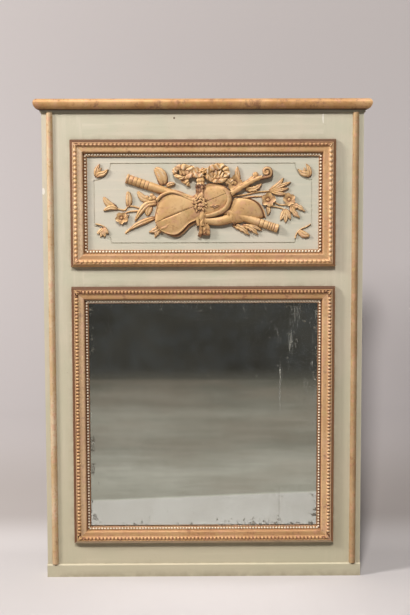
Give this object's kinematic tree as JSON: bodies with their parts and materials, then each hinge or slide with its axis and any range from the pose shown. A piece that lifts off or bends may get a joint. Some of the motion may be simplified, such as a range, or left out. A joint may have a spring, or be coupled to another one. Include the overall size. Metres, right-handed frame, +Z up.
{
  "type": "trumeau mirror",
  "caption": "Tall painted and gilded panel with a framed mirror below a framed panel carved with a music trophy, gilded edge mouldings and a half-round cornice.",
  "frame": {"origin": "middle of the overall box, at the floor", "axes": "+Z up, the front with the mirror faces -Y, +X to the viewer's right"},
  "size_m": [1.026, 0.073, 1.483],
  "materials": {
    "painted_wood": "worn grey-cream paint with fine cracks",
    "gilded_wood": "worn water gilding over red-brown ground",
    "bare_wood": "aged unpainted softwood",
    "old_glass": "polished",
    "silvering": "aged silvering with foxing",
    "iron": "dark, slightly rusty"
  },
  "bodies": {
    "root": {"backboard_1": "bare_wood", "backboard_2": "bare_wood", "backboard_3": "bare_wood", "backboard_4": "bare_wood", "backboard_nails": "iron", "batten_nails": "iron", "bottom_rail": "painted_wood", "corner_leaf_bottom_left": "gilded_wood", "corner_leaf_bottom_right": "gilded_wood", "corner_leaf_top_left": "gilded_wood", "corner_leaf_top_right": "gilded_wood", "cornice_fillet_front": "painted_wood", "cornice_fillet_left": "painted_wood", "cornice_fillet_right": "painted_wood", "cornice_front": "gilded_wood", "cornice_return_left": "gilded_wood", "cornice_return_right": "gilded_wood", "dust_board": "bare_wood", "foot_batten": "bare_wood", "frame_pegs": "bare_wood", "glazing_blocks": "bare_wood", "hanger_plate_left": "iron", "hanger_plate_right": "iron", "hanger_screws": "iron", "hanging_rail": "bare_wood", "middle_rail": "painted_wood", "mirror_frame_bottom": "gilded_wood", "mirror_frame_left": "gilded_wood", "mirror_frame_right": "gilded_wood", "mirror_frame_top": "gilded_wood", "mirror_glass": "old_glass", "mirror_silvering": "silvering", "moulding_pins": "iron", "panel_batten_lower": "bare_wood", "panel_batten_upper": "bare_wood", "panel_frame_bottom": "gilded_wood", "panel_frame_left": "gilded_wood", "panel_frame_right": "gilded_wood", "panel_frame_top": "gilded_wood", "plinth_board": "painted_wood", "relief_panel": "painted_wood", "side_board_left": "painted_wood", "side_board_right": "painted_wood", "side_moulding_left": "gilded_wood", "side_moulding_right": "gilded_wood", "stile_left": "painted_wood", "stile_right": "painted_wood", "top_rail": "painted_wood", "trophy_flute": "gilded_wood", "trophy_horn": "gilded_wood", "trophy_leaf_upper": "gilded_wood", "trophy_leaves_lower": "gilded_wood", "trophy_ribbon_bow": "gilded_wood", "trophy_ribbon_knot": "gilded_wood", "trophy_ribbon_tails": "gilded_wood", "trophy_spray_left": "gilded_wood", "trophy_spray_right": "gilded_wood", "trophy_violin": "gilded_wood", "trophy_violin_neck": "gilded_wood"}
  },
  "joints": []
}
